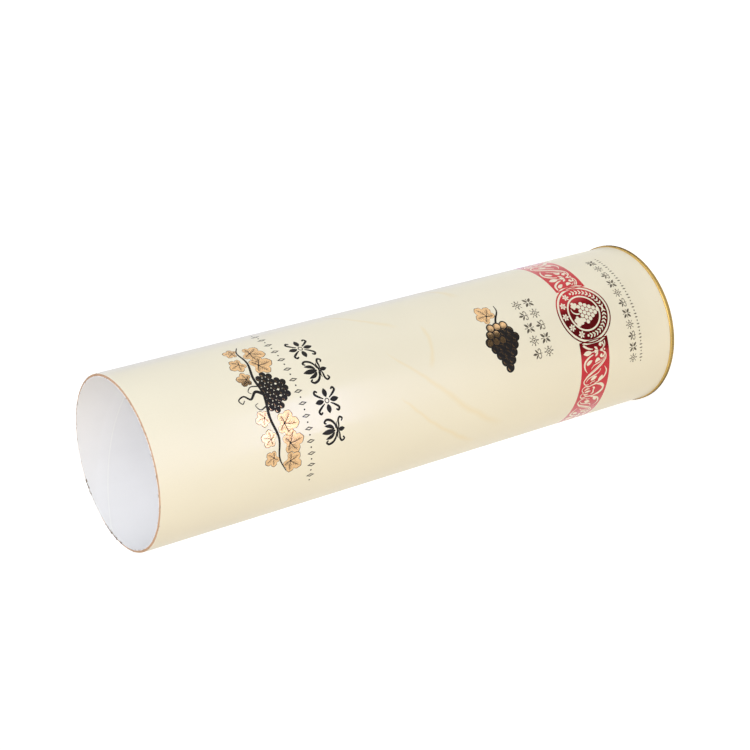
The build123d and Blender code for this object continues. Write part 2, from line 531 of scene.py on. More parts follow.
def even_angles(count):
    return np.arange(count) * TURN / count


def linked(name, data):
    """A new object in the scene."""
    made = bpy.data.objects.new(name, data)
    bpy.context.scene.collection.objects.link(made)
    return made


def make_piece(name, points, faces, material, slot=None, replaced=(), sharp=30.0, weld=False):
    """A mesh object at the origin that rides on the tube, with points in metres in the shared frame."""
    mesh = bpy.data.meshes.new(name)
    mesh.from_pydata(points.tolist(), [], [list(map(int, face)) for face in faces])
    if weld:
        welded = bmesh.new()
        welded.from_mesh(mesh)
        bmesh.ops.remove_doubles(welded, verts=welded.verts, dist=1e-7)
        welded.to_mesh(mesh)
        welded.free()
    mesh.validate()
    mesh.shade_smooth()
    mesh.set_sharp_from_angle(angle=math.radians(sharp))
    mesh.materials.append(material)
    piece = linked(name, mesh)
    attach(piece, "root")
    if replaced:
        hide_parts(*replaced)
    return piece


def turned_piece(name, radius, height, angle, *look, **more):
    """A closed section turned round +Z. Radius and height are one for each corner, or one at each angle."""
    points = around(radius, angle[:, None], height)
    faces = grid_faces(len(angle), np.shape(height)[-1], True, True)
    return make_piece(name, points, faces, *look, **more)


def roughness_round(angle, across, seed, slowest, fastest, twist):
    """A rough field on a ring: a sum of cosines with whole numbers of waves round the ring.

    Each cosine's start also slides with the place across the ring, so neighbouring lines differ.
    """
    chance = np.random.default_rng(seed)
    waves = 48
    count = chance.integers(slowest, fastest, waves)[:, None, None]
    start = chance.uniform(0, TURN, waves)[:, None, None]
    slide = chance.normal(0, twist, waves)[:, None, None]
    field = np.cos(count * angle[None, :, None] + start + slide * across[None, None, :])
    return field.sum(0) / math.sqrt(waves / 2)


# Layers of the tube


class Wall:
    """The straight, tapered and flared line that the layers and the metal end follow, in metres."""

    def __init__(self, sizes):
        self.sizes = sizes
        self.board_inside = sizes.liner_paper
        self.board_outside = self.board_inside + sizes.board_wall
        self.thickness = self.board_outside + sizes.wrap_paper
        self.outside = sizes.bore_radius + self.thickness
        self.cut = TINPLATE + CROWN_RADIUS * (1 - math.sin(FLARE_ANGLE))
        self.flare_start = self.cut + FLARE_HEIGHT
        self.taper_start = COUNTERSINK_TOP + CHUCK_CLEARANCE
        taper_drop = self.taper_start - self.flare_start
        self.flare_radius = sizes.bore_radius + taper_drop * math.tan(CHUCK_TAPER)
        self.foot_radius = self.flare_radius + FLARE_HEIGHT * math.tan(FLARE_ANGLE)
        self.seam_radius = self.foot_radius + self.thickness * math.cos(FLARE_ANGLE) + FLANGE_CLEARANCE
        self.lip = self.line(self.thickness)[2][1] + LIP_CLEARANCE
        self.seam_top = self.lip + TINPLATE

    def mouth(self, depth):
        """Height of the bevelled mouth at a depth into the wall."""
        return self.sizes.height - self.sizes.mouth_bevel * depth / self.thickness

    def line(self, depth):
        """Radius and height of the face at a depth, from the mouth down to the cut foot."""
        middle = (CHUCK_TAPER + FLARE_ANGLE) / 2
        mitre = depth / math.cos((FLARE_ANGLE - CHUCK_TAPER) / 2)
        bore = self.sizes.bore_radius
        return [
            (bore + depth, self.mouth(depth)),
            (bore + depth, self.taper_start + depth * math.tan(CHUCK_TAPER / 2)),
            (self.flare_radius + mitre * math.cos(middle), self.flare_start + mitre * math.sin(middle)),
            (self.foot_radius + depth * math.cos(FLARE_ANGLE), self.cut + depth * math.sin(FLARE_ANGLE)),
        ]

    def section(self, inner, outer, mouth_points):
        """Closed section of a layer: up its inner face, across the mouth, and down its outer face."""
        across = np.linspace(inner, outer, mouth_points)
        mouth = [(self.sizes.bore_radius + depth, self.mouth(depth)) for depth in across]
        return np.array(self.line(inner)[:0:-1] + mouth + self.line(outer)[1:]), across


def torn_places(chance, torn, even):
    """Azimuths round the mouth: some about the two places where the knife tore, the rest all round."""
    centre, spread = np.radians([[-184.0, 4.5], [-142.0, 6.5]])[np.arange(torn) % 2].T
    return np.concatenate([chance.normal(centre, spread), chance.uniform(0, TURN, even)])


def board_tube(sizes, colours):
    """The wound board. Its mouth is a rough knife cut: a field of fibres and a groove between plies."""
    wall = Wall(sizes)
    plies = 6
    section, across = wall.section(wall.board_inside, wall.board_outside, 4 * plies + 1)
    angle = even_angles(1600)
    share = (across - across[0]) / (across[-1] - across[0])
    fibres = roughness_round(angle, share, 11, 60, 700, 14.0)
    slow = roughness_round(angle, share, 12, 3, 40, 3.0)
    grooves = np.cos(share * plies * TURN) ** 6
    relief = (0.035 * fibres + 0.03 * slow - 0.05 * grooves) * MM
    chance = np.random.default_rng(13)
    nicks = torn_places(chance, 18, 16)
    away = (angle[:, None] - nicks + math.pi) % TURN - math.pi
    width, drop = chance.uniform(0.004, 0.012, len(nicks)), chance.uniform(0.1, 0.4, len(nicks))
    dents = np.exp(-(away / width) ** 2) * drop
    relief -= dents.sum(1)[:, None] * MM * (1 - 0.6 * share)
    height = np.tile(section[:, 1], (len(angle), 1))
    mouth = slice(3, 3 + len(across))
    height[:, mouth] += relief
    board = wound_board("wound_board", colours.board)
    turned_piece("wound_board_tube", section[:, 0], height, angle, board, "board", ["board_tube"], 40)


def mouth_fibres(sizes, colours):
    """Loose fibres that the knife left on the cut board, all round and thickest where it tore.

    Each is a thin strand on a parabola: along the rim by a length, in or out a little, and up with the
    square of the way along it. Its square section shrinks to a tip.
    """
    wall = Wall(sizes)
    chance = np.random.default_rng(5)
    strands, tufts, torn, steps = 220, 26, 70, 6
    angle = torn_places(chance, torn, strands - torn)
    inner_edge = chance.random(strands) < 0.75
    depth = np.where(inner_edge, wall.board_inside, wall.board_outside)
    depth = depth + chance.uniform(-0.05, 0.2, strands) * MM * np.where(inner_edge, 1, -1)
    tuft = np.arange(strands) < tufts
    fine = chance.gamma(3.0, 0.26, strands).clip(0.3, 1.8)
    length = np.where(tuft, chance.uniform(0.6, 1.5, strands), fine) * MM
    lean = chance.normal(0, 0.3, strands) + np.where(inner_edge, -0.55, 0.1)
    rise = chance.uniform(0.02, 0.3, strands) * np.where(tuft, 1.6, 1) * MM
    way = np.linspace(0, 1, steps)[None, :]
    radius = sizes.bore_radius + depth[:, None] + (length * lean)[:, None] * way**1.5
    turn = angle[:, None] + (length * chance.choice([-1, 1], strands) / sizes.bore_radius)[:, None] * way
    base = np.array([wall.mouth(part) for part in depth])
    height = base[:, None] + rise[:, None] * way**2 + 0.02 * MM
    thick = (chance.uniform(0.04, 0.11, strands) * np.where(tuft, 3.6, 1) * MM)[:, None] * (1.05 - way)
    corner = np.array([[-1, -1], [1, -1], [1, 1], [-1, 1]])
    radius = radius[..., None] + thick[..., None] * corner[:, 0]
    height = height[..., None] + thick[..., None] * corner[:, 1]
    points = around(radius, turn[..., None], height)
    faces = []
    for first in range(0, len(points), steps * 4):
        faces += [[first + point for point in face] for face in strip_faces(steps, 4)]
    fibre = wound_board("torn_fibre", shade(colours.board, 0.36))
    facing_out(make_piece("mouth_fibres", points, faces, fibre, "board"))


def facing_out(piece):
    """Turns a closed mesh's faces outwards."""
    solid = bmesh.new()
    solid.from_mesh(piece.data)
    bmesh.ops.recalc_face_normals(solid, faces=solid.faces)
    solid.to_mesh(piece.data)
    solid.free()


def printed_wrap(sizes, colours):
    """The cream paper, with the second thickness of its lap on the back, above the seam."""
    wall = Wall(sizes)
    rounding = 0.05 * MM
    section, across = wall.section(wall.board_outside, wall.thickness, 4)
    mouth_corner = 3 + len(across) - 1
    outer_line = wall.line(wall.thickness)
    taper_top, flare_top = outer_line[1:3]
    lap_feet = [
        (np.interp(z, [flare_top[1], taper_top[1]], [flare_top[0], taper_top[0]]), z)
        for z in (wall.seam_top + 0.01 * MM, wall.seam_top)
    ]
    rounded_edge = [
        (wall.outside - rounding * 0.3, wall.mouth(wall.thickness) + rounding * 0.2),
        (wall.outside, wall.mouth(wall.thickness) - rounding),
    ]
    section = np.vstack([section[:mouth_corner], rounded_edge, taper_top, lap_feet, outer_line[2:]])
    half_lap = sizes.wrap_lap / 2 / wall.outside
    step = 0.01 * MM / wall.outside
    edges = math.pi + np.array([-half_lap - step, -half_lap, half_lap, half_lap + step])
    angle = np.sort(np.concatenate([even_angles(720), edges]))
    lapped = (np.abs(angle - math.pi) <= half_lap + step / 2)[:, None]
    outside = np.zeros(len(section), bool)
    outside[mouth_corner:mouth_corner + 4] = True
    radius = section[:, 0] + sizes.wrap_paper * (lapped & outside)
    paper = laminated_paper("laminated_wrap", colours, veined=True)
    turned_piece(
        "laminated_wrap", radius, section[:, 1], angle, paper, "wrap_paper", ["printed_wrap"]
    )


def spiral_strip(name, sizes, offsets, proud, material):
    """A closed strip that climbs the bore between two helices, with a height above it for each offset.

    Both helices are cut off where they meet the mouth and the foot, so it narrows to a point there.
    """
    wall = Wall(sizes)
    seen_height, seen_angle = SEAM_SEEN
    foot, mouth = wall.taper_start, wall.mouth(0.0) - 0.02 * MM
    lowest = seen_angle + TURN * (foot - seen_height - max(offsets)) / sizes.seam_lead
    highest = seen_angle + TURN * (mouth - seen_height - min(offsets)) / sizes.seam_lead
    turn = np.linspace(lowest, highest, 1400)[:, None]
    helix = seen_height + sizes.seam_lead * (turn - seen_angle) / TURN
    height = np.clip(helix + np.concatenate([offsets, offsets[::-1]]), foot, mouth)
    depth = np.concatenate([proud, np.full(len(offsets), -0.02 * MM)])
    points = around(sizes.bore_radius - depth, turn, height)
    faces = strip_faces(len(turn), len(depth))
    facing_out(make_piece(name, points, faces, material, "liner_paper", sharp=20, weld=True))


def inner_liner(sizes, colours):
    """The white paper inside, with the overlap of its spiral joint and the overlap's bare cut edge."""
    wall = Wall(sizes)
    radius, height = wall.section(0.0, wall.board_inside, 5)[0].T
    paper = liner_paper("liner_paper", colours.liner)
    turned_piece(
        "white_liner", radius, height, even_angles(720), paper, "liner_paper", ["inner_liner"]
    )
    lap, step = sizes.seam_lap, sizes.seam_step
    slope = np.array([0, 0.04 * MM, lap - 1.5 * MM, lap])
    spiral_strip("liner_seam_lap", sizes, slope, np.array([0, step, step, 0]) + 0.005 * MM, paper)
    edge = np.array([0.0, 0.65 * MM])
    # The cut edge is whiter than the liner: partly the bare paper, partly a painted highlight along the
    # joint.
    edge_white_and_highlight = liner_paper("liner_cut_edge", (1.0, 1.0, 1.0))
    spiral_strip("liner_seam_edge", sizes, edge, np.full(2, step + 0.012 * MM), edge_white_and_highlight)


def rounded(corners, radii, steps=7):
    """A line with its corners rounded by arcs, each tangent to the two runs that meet there."""
    line = [np.array(corners[0])]
    for before, corner, after, radius in zip(corners, corners[1:], corners[2:], radii):
        before, corner, after = map(np.array, (before, corner, after))
        back = (before - corner) / np.linalg.norm(before - corner)
        ahead = (after - corner) / np.linalg.norm(after - corner)
        half = math.acos(np.clip(back @ ahead, -1, 1)) / 2
        centre = corner + (back + ahead) / np.linalg.norm(back + ahead) * radius / math.sin(half)
        start = corner + back * radius / math.tan(half) - centre
        stop = corner + ahead * radius / math.tan(half) - centre
        sweep = math.pi - 2 * half
        for part in np.linspace(0, 1, steps):
            line.append(centre + (start * math.sin((1 - part) * sweep) + stop * math.sin(part * sweep))
                        / math.sin(sweep))
    line.append(np.array(corners[-1]))
    return np.array(line)


def sheet_section(upper, thickness):
    """Closed section of a sheet: its upper face, then the lower face, set back along each mitre."""
    run = np.diff(upper, axis=0)
    normal = np.stack([run[:, 1], -run[:, 0]], 1) / np.linalg.norm(run, axis=1)[:, None]
    before, after = np.vstack([normal[:1], normal]), np.vstack([normal, normal[-1:]])
    mitre = before + after
    mitre /= (1 + (before * after).sum(1))[:, None]
    return np.vstack([upper, (upper + mitre * thickness)[::-1]])


def metal_end(sizes, colours):
    """The pressed tinplate end: panel with a bead, countersink, chuck wall, crown and curled lip."""
    wall = Wall(sizes)
    crown_corner = wall.foot_radius + (wall.cut - TINPLATE) * math.tan(FLARE_ANGLE)
    chuck_top = sizes.bore_radius + CHUCK_CLEARANCE * math.tan(CHUCK_TAPER)
    ring_edge = sizes.bore_radius - COUNTERSINK_WIDTH
    lip_end = wall.line(wall.thickness)[2][0]
    corners = [
        (0.0, PANEL_HEIGHT), (BEAD_FEET[0], PANEL_HEIGHT), (BEAD_CREST[0], PANEL_HEIGHT + BEAD_RISE),
        (BEAD_CREST[1], PANEL_HEIGHT + BEAD_RISE), (BEAD_FEET[1], PANEL_HEIGHT),
        (ring_edge - COUNTERSINK_SLOPE, PANEL_HEIGHT), (ring_edge, COUNTERSINK_TOP),
        (chuck_top, COUNTERSINK_TOP), (wall.flare_radius, wall.flare_start),
        (crown_corner, TINPLATE), (wall.seam_radius, TINPLATE), (wall.seam_radius, wall.lip),
        (lip_end, wall.lip),
    ]
    bends = [PANEL_BEND] * 5 + [COUNTERSINK_BEND] * 3 + [CROWN_RADIUS, CROWN_RADIUS, LIP_RADIUS]
    radius, height = sheet_section(rounded(corners, bends), TINPLATE).T
    tin = lacquered_tinplate(colours.lacquer)
    facing_out(turned_piece(
        "gold_tinplate_end", radius, height, even_angles(540), tin, "lacquered_tinplate", ["metal_end"],
        weld=True,
    ))


# Print


def smooth_curve(points, steps=7):
    """Places on a Catmull-Rom curve through the points, and each place's share of the length."""
    padded = np.vstack([2 * points[0] - points[1], points, 2 * points[-1] - points[-2]])
    spot = np.linspace(0, len(points) - 1, steps * (len(points) - 1) + 1)
    first = np.minimum(spot.astype(int), len(points) - 2)
    t = (spot - first)[:, None]
    a, b, c, d = (padded[first + shift] for shift in range(4))
    line = b + 0.5 * t * (c - a + t * (2 * a - 5 * b + 4 * c - d + t * (3 * (b - c) + d - a)))
    length = np.concatenate([[0], np.cumsum(np.linalg.norm(np.diff(line, axis=0), axis=1))])
    return line, length / length[-1]


def swelling(way, widths):
    """A width that follows a parabola from the first to the last and has the middle one halfway."""
    first, middle, last = widths
    pull = 2 * middle - (first + last) / 2
    return (1 - way) ** 2 * first + 2 * way * (1 - way) * pull + way**2 * last


def vine_outline(angle):
    """Radius of a vine leaf: the largest of five cosine lobes, with fine teeth, and a notch behind."""
    lobes = ((0, 1.0), (1.05, 0.86), (-1.05, 0.86), (2.1, 0.66), (-2.1, 0.66))
    turn = [(angle - lobe + math.pi) % TURN - math.pi for lobe, _ in lobes]
    reach = [length * np.clip(np.cos(1.35 * away), 0, 1) ** 1.1 for away, (_, length) in zip(turn, lobes)]
    teeth = 1 + 0.05 * np.abs((angle * 17 / math.pi) % 2 - 1)
    return np.maximum(np.max(reach, axis=0), 0.3) * teeth


def leaf_edge(reach, grown=1):
    """Edge of a vine leaf that reaches so many millimetres, as a radius in metres for each angle."""
    return lambda angle: reach * MM * vine_outline(angle) * grown


def lozenge(wide, tall):
    """Edge of a rhombus of that half width and half height in millimetres, in the same form."""
    return lambda angle: 1 / (np.abs(np.sin(angle)) / wide + np.abs(np.cos(angle)) / tall) * MM


def in_row(count, pitch=1):
    """Places of things that stand in a row about its middle."""
    return [(place - (count - 1) / 2) * pitch for place in range(count)]


class Plates:
    """Thin closed plates of one ink or foil, laid on the wrap and gathered into one mesh.

    Places on the wrap are an arc length from the front and a height, both in metres. The arc length
    over the wrap's radius is the angle from -Y towards +X, and the lap at the back lifts what it carries.
    """

    def __init__(self, sizes, lift=0.0):
        self.wall = Wall(sizes)
        self.half_lap = sizes.wrap_lap / 2 / self.wall.outside
        self.lap_rise = sizes.wrap_paper
        self.proud = sizes.ink + lift
        self.sunk = 0.02 * MM
        self.points, self.faces, self.count, self.plates = [], [], 0, 0

    def crest(self):
        """How far the next plate stands proud: seven heights in turn, so that neighbours don't coincide."""
        return self.proud + (self.plates % 7) * 0.0012 * MM

    def add(self, along, height, proud, faces):
        """Adds a closed plate; its faces count its points in reading order."""
        angle = along / self.wall.outside
        turned_away = np.abs((angle + math.pi) % TURN - math.pi)
        lapped = turned_away >= math.pi - self.half_lap - 1e-9
        radius = self.wall.outside + proud + self.lap_rise * lapped
        points = around(radius, angle, height)
        self.points.append(points)
        self.faces += [[corner + self.count for corner in face] for face in faces]
        self.count += len(points)
        self.plates += 1

    def stroke(self, centre, curve, mirror=1, scale=1.0, keep=None, turn=0.0):
        """A stroke round a smooth curve: foot, shoulder, crest, shoulder and foot across its width."""
        points, widths = curve
        line, way = smooth_curve(np.array(points, float) * (mirror, 1) * scale * MM)
        cosine, sine = math.cos(turn), math.sin(turn)
        line = line @ np.array([[cosine, -sine], [sine, cosine]]) + centre
        width = np.maximum(swelling(way, widths) * scale, 0.06) * MM
        if keep is not None:
            inside = np.flatnonzero(keep(line[:, 0], line[:, 1]))
            runs = np.split(inside, np.flatnonzero(np.diff(inside) > 1) + 1)
            longest = max(runs, key=len)
            if len(longest) < 3:
                return
            line, width = line[longest], width[longest]
        run = np.gradient(line, axis=0)
        side = np.stack([-run[:, 1], run[:, 0]], 1) / np.linalg.norm(run, axis=1)[:, None]
        across = np.array([-0.5, -0.44, 0, 0.44, 0.5])
        spot = line[:, None, :] + side[:, None, :] * (width[:, None] * across)[..., None]
        crest = self.crest()
        proud = np.array([-self.sunk, crest, crest + 0.004 * MM, crest, -self.sunk])
        faces = strip_faces(len(line), len(across))
        self.add(spot[..., 0], spot[..., 1], np.broadcast_to(proud, spot.shape[:2]), faces)

    def design(self, centre, curves, scale=1.0):
        """The strokes of an ornament, each mirrored unless it starts on the upright axis."""
        for curve in curves:
            for mirror in (1, -1) if any(across for across, _ in curve[0]) else (1,):
                self.stroke(centre, curve, mirror, scale)

    def disc(self, centre, outer, turn=0.0, dome=0.0, columns=48, rings=3, inner=0.0):
        """A plate about a centre, with a crown that is a parabola. With an inner edge it is a ring.

        An edge is a radius, or a function that gives one for each angle, clockwise from the top.
        """
        angle = even_angles(columns)
        outer, hole = (edge(angle) if callable(edge) else edge for edge in (outer, inner))
        share = np.concatenate([[0], np.linspace(0, 1, rings + 1), [1]])[:, None]
        radius = hole + (outer - hole) * share * np.ones(columns)
        along = centre[0] + radius * np.sin(angle + turn)
        height = centre[1] + radius * np.cos(angle + turn)
        proud = self.crest() + dome * (1 - share**2)
        proud[[0, -1]] = -self.sunk
        faces = grid_faces(len(share), columns, True, True).tolist()
        self.add(along, height, np.broadcast_to(proud, along.shape), faces)

    def make(self, name, material):
        points = np.concatenate(self.points)
        facing_out(make_piece(name, points, self.faces, material, sharp=35, weld=True))


def millimetres(*place):
    return np.array(place) * MM


def band_foil(plates, band, seal, gap):
    """One plate right round the tube, cut to an arc on both sides of the seal."""
    radius = plates.wall.outside
    height = band.band_height + np.linspace(-0.5, 0.5, 25) * band.band_width
    inset = np.sqrt(gap**2 - (height - seal[1]) ** 2)[:, None]
    lap = (math.pi + np.array([-1.002, -1, 1, 1.002]) * plates.half_lap) * radius
    start, stop = seal[0] + inset, seal[0] + TURN * radius - inset
    along = start + np.linspace(0, 1, 640) * (stop - start)
    along = np.sort(np.hstack([along, np.tile(lap, (len(along), 1))]))
    along = np.vstack([along[:1], along, along[-1:]])
    height = np.concatenate([height[:1], height, height[-1:]])[:, None] * np.ones(along.shape[1])
    proud = np.full(along.shape, plates.proud)
    proud[[0, -1]] = -plates.sunk
    rows, count = along.shape
    first = [row * count for row in range(rows)]
    faces = grid_faces(rows, count, True).tolist()
    faces += [first, [point + count - 1 for point in first][::-1]]
    plates.add(along, height, proud, faces)


def band_scrollwork(plates, band, seal, gap):
    """The drawn repeat all round the band, less what would come within the gap about the seal."""

    def clear_of_seal(along, height):
        return (along - seal[0]) ** 2 + (height - seal[1]) ** 2 > gap**2

    full = TURN * plates.wall.outside
    period = full / band.band_repeats
    scale = period / (DRAWN_REPEAT * MM)
    start = seal[0] + band.band_shift + period / 2
    for repeat in range(band.band_repeats):
        spot = np.array([start + repeat * period, band.band_height])
        if spot[0] > full / 2:
            spot[0] -= full
        for curves, mirror in ((FLEUR, 1), (SCROLLS, 1), (SCROLLS, -1), (FLOWER, 1)):
            for curve in curves:
                plates.stroke(spot, curve, mirror, scale, clear_of_seal)
        plates.disc(spot + millimetres(0, -6.9) * scale, 0.55 * MM * scale, columns=16, rings=1)
        for mirror in (1, -1):
            curl = spot + millimetres(2.9 * mirror, -4.4) * scale
            plates.disc(curl, 0.75 * MM * scale, columns=20, rings=1)


def seal_ornaments(cream, seal):
    """Rosettes over leaves round the seal, and a bunch of grapes in its middle."""
    petal = (((0, 0.5), (0, 1.2), (0, 2.15)), (0.4, 1.15, 0.3))
    leaf = (((0, -0.2), (0, 0.9), (0, 2.1)), (0.25, 0.95, 0.1))
    stem = (((0, 3.2), (0.2, 5.2), (1.6, 7.2), (3.6, 7.7)), (0.9, 0.9, 0.4))

    def on_ring(turn):
        return seal + SEAL_ORNAMENTS * MM * np.array([math.sin(turn), math.cos(turn)])

    for turn in np.radians([-60, -30, 0, 30, 60]):
        for lean in even_angles(6):
            cream.stroke(on_ring(turn), petal, turn=turn + lean)
        cream.disc(on_ring(turn), 0.36 * MM, columns=12, rings=1)
    for step in np.radians(np.arange(92, 178, 9.5)):
        for turn in (step, -step):
            for lean in (0.75, -0.75):
                tangent = turn - math.copysign(math.pi / 2, turn)
                cream.stroke(on_ring(turn), leaf, turn=tangent + lean)
    for turn in np.radians([80, -80, 180]):
        cream.disc(on_ring(turn), 0.7 * MM, columns=16, rings=1)
    for row, count in enumerate((4, 5, 4, 3, 2, 1)):
        for across in in_row(count, 2.7):
            spot = seal + millimetres(across, 1.9 - row * 2.3)
            cream.disc(spot, 1.22 * MM, columns=20, rings=2)
    cream.stroke(seal, stem)
    for across, up, reach, turn in ((-3.4, 5.0, 3.9, -62), (4.6, 4.4, 2.9, 70)):
        cream.disc(seal + millimetres(across, up), leaf_edge(reach), math.radians(turn), columns=72)


def red_band(sizes, colours, band):
    """The red foil band and the foil rings of the seal, with the cream print on them."""
    foil, cream = Plates(sizes, -0.006 * MM), Plates(sizes, 0.012 * MM)
    seal = np.array([SEAL_ALONG, band.band_height + SEAL_RISE])
    gap = band.seal_radius + band.seal_gap
    band_foil(foil, band, seal, gap)
    for inner, outer in SEAL_RINGS:
        foil.disc(seal, outer * MM, columns=192, rings=7, inner=inner * MM)
    foil.make("red_foil", stamped_foil("red_foil", colours.red, 0.6, 0.5))
    band_scrollwork(cream, band, seal, gap + 0.2 * MM)
    seal_ornaments(cream, seal)
    cream.make("cream_scrollwork", laminated_paper("cream_scrollwork", colours))


def vine_leaf(fill, lines, centre, reach, turn):
    """A leaf plate with a dark edge, five veins from its stem to its lobes, and engraved side veins."""
    turn = math.radians(turn)
    centre = np.array(centre) * MM
    fill.disc(centre, leaf_edge(reach), turn, columns=96)
    half_line = 0.16 / reach
    outer, inner = leaf_edge(reach, 1 + half_line), leaf_edge(reach, 1 - half_line)
    lines.disc(centre, outer, turn, columns=96, rings=1, inner=inner)
    for lobe, length in ((0, 0.92), (1.05, 0.78), (-1.05, 0.78), (2.1, 0.56), (-2.1, 0.56)):
        vein = (((0, -0.08), (0.04, 0.5 * length), (0, length)), (0.07, 0.055, 0.02))
        lines.stroke(centre, vein, scale=reach, turn=turn + lobe)
        for step in (0.3, 0.48, 0.66):
            for side in (1, -1):
                start, spread = step * length, 0.27 * (1 - step)
                barb = (((0.01, start), (spread, start + 0.17)), (0.032, 0.028, 0.012))
                lines.stroke(centre, barb, side, scale=reach, turn=turn + lobe)


def emblem(sizes, colours):
    """A garland of gold vine leaves on a dark branch, with dark grapes in the middle and a tendril."""
    gold, ink, shine = Plates(sizes), Plates(sizes, 0.012 * MM), Plates(sizes, 0.05 * MM)
    leaves = (
        (-33.4, 259.2, 6.6, 215), (-24.0, 258.4, 7.2, 170), (-13.6, 259.6, 7.4, 190),
        (19.8, 260.0, 7.2, 172), (29.6, 259.6, 7.2, 205), (-29.4, 268.6, 4.9, 335),
        (-19.6, 268.8, 5.2, 20), (-8.6, 269.6, 4.8, 350), (13.2, 270.6, 4.8, 15),
        (23.4, 269.4, 5.4, 340), (33.0, 267.8, 4.4, 25),
    )
    for along, height, reach, turn in leaves:
        vine_leaf(gold, ink, (along, height), reach * 1.07, turn)
    # The dark grapes are print; set in the middle, they also paint the dark reflection that the foil shows
    # there.
    middle = millimetres(3.6, 264.2)
    radius = 1.72
    for offset, count in ((0, 6), (-2.9, 7), (-5.8, 6), (-8.7, 4), (-11.4, 3)):
        for place in in_row(count):
            spot = middle + millimetres(place * radius * 1.93, offset)
            ink.disc(spot, radius * MM, dome=0.03 * MM, columns=28)
            shine.stroke(middle + millimetres(place * 3.32, offset), GLINTS[0])
    branch = (((-38.0, 262.0), (-30, 265.4), (-20, 264.4), (-9, 266.8), (3, 265.6), (13, 266.8),
               (23, 264.8), (32, 265.6), (37.5, 262.6)), (0.5, 1.6, 0.5))
    tendril = (((3.4, 265.6), (5.4, 269.4), (2.2, 273.2), (4.6, 276.4), (3.2, 279.8), (0.9, 278.5),
                (2.3, 276.8)), (2.0, 1.1, 0.5))
    curl = (((-3.0, 266.4), (-4.2, 270.2), (-1.6, 272.2), (-0.6, 270.4)), (0.8, 0.6, 0.3))
    twig = (((8.0, 266.6), (8.6, 270.6), (6.4, 273.0), (4.8, 271.6)), (0.8, 0.6, 0.3))
    for curve in (branch, tendril, curl, twig):
        ink.stroke(np.zeros(2), curve)
    foil = stamped_foil("gold_foil", colours.gold, 0.5, rough=0.15)
    gold.make("emblem_gold_foil", foil)
    shine.make("emblem_glints", foil)
    ink.make("emblem_ink", printed_ink("emblem_ink", colours.black, OVERPRINTED_GOLD, 0.62))


def dotted_row(ink, count, width, height, every, dot, mark):
    """A row about the front, in mm: a dot at every so many places, and a mark at the others."""
    for place in range(count):
        spot = millimetres(-width / 2 + place * width / (count - 1), height)
        ink.disc(spot, rings=1, **(mark if place % every else dot))


def large_ornaments(sizes, colours):
    """Four large black ornaments in a row, with a fine row of lozenges and dots above them."""
    ink = Plates(sizes)
    for place, design in zip((-24.3, -8.5, 8.2, 23.7), (PALMETTE, ROSETTE, PALMETTE, ROSETTE)):
        ink.design(millimetres(place, 233.0), design)
    dot = {"outer": 0.45 * MM, "columns": 16}
    open_lozenge = {"outer": lozenge(1.0, 2.5), "inner": lozenge(0.42, 1.5), "columns": 32}
    dotted_row(ink, 31, 98, 246.8, 2, dot, open_lozenge)
    ink.make("black_ornaments", printed_ink("black_ink", colours.black, colours.cream, 0.7))


def grape_picture(sizes, colours):
    """A bunch of grapes on its side, dark to the left and gold to the right, with a gold leaf.

    Small dark plates under the grapes fill the gaps between them. Each dark grape has two gold arcs, and
    each gold one has a dark ring and a dark arc. The dark ink is print, and its place on the left also
    paints the dark reflection that the foil shows there.
    """
    gold, ink, under = Plates(sizes), Plates(sizes, 0.004 * MM), Plates(sizes, -0.008 * MM)
    shine, lines = Plates(sizes, 0.06 * MM), Plates(sizes, 0.055 * MM)
    # Columns of grapes: place, how many, and how many of the lowest are dark
    columns = ((-18.0, 1, 1), (-14.1, 2, 2), (-10.2, 3, 3), (-6.3, 4, 4), (-2.4, 5, 2), (1.5, 4, 2),
               (5.4, 3, 0))
    # Dark grapes on the left and low down are print that also paints the foil's dark reflection there.
    for along, count, dark in columns:
        for place, across in enumerate(in_row(count, 4.3)):
            spot = millimetres(along, 118.0 + across)
            plates = ink if place < dark else gold
            plates.disc(spot, 2.25 * MM, dome=0.05 * MM, columns=32)
            under.disc(spot, 2.75 * MM, columns=24, rings=1)
            if plates is ink:
                for glint in GLINTS:
                    shine.stroke(spot, glint, scale=1.55)
            else:
                lines.disc(spot, 2.28 * MM, columns=32, rings=1, inner=1.98 * MM)
                lines.stroke(spot, GLINTS[1], scale=1.4, turn=math.radians(-100))
    vine_leaf(gold, ink, (13.0, 120.4), 7.6, 60)
    stem = (((7.0, 117.8), (10.4, 116.0), (14.6, 112.6), (18.6, 112.2)), (1.5, 1.1, 0.5))
    ink.stroke(np.zeros(2), stem)
    foil = stamped_foil("picture_gold_foil", colours.gold, 0.5, rough=0.15, metallic=0.94)
    gold.make("picture_gold_foil", foil)
    shine.make("picture_glints", foil)
    black = printed_ink("picture_ink", colours.black, OVERPRINTED_GOLD, 0.62)
    ink.make("picture_ink", black)
    under.make("picture_shadow_ink", black)
    lines.make("picture_outlines", black)


def small_ornaments(sizes, colours):
    """Rows of small grey ornaments: two of five under the picture, and a long one near the foot."""
    ink = Plates(sizes)
    designs = (SPRIG, LENS, CLOVER)
    # Each row: how many, how far apart, height, scale and first design
    rows = ((5, 7.5, 98.3, 1.05, 0), (5, 7.5, 90.5, 1.05, 1), (11, 6.5, 31.0, 0.95, 1))
    for count, pitch, height, scale, first in rows:
        for place, along in enumerate(in_row(count, pitch)):
            ink.design(millimetres(along, height), designs[(place + first) % 3], scale)
    dot = {"outer": 0.42 * MM, "columns": 12}
    dotted_row(ink, 37, 71, 25.1, 3, dot, {"outer": lozenge(0.42, 1.25), "columns": 16})
    ink.make("grey_ornaments", printed_ink("grey_ink", colours.grey, colours.cream, 0.66))


# Stage

CARD_COLUMNS = 61

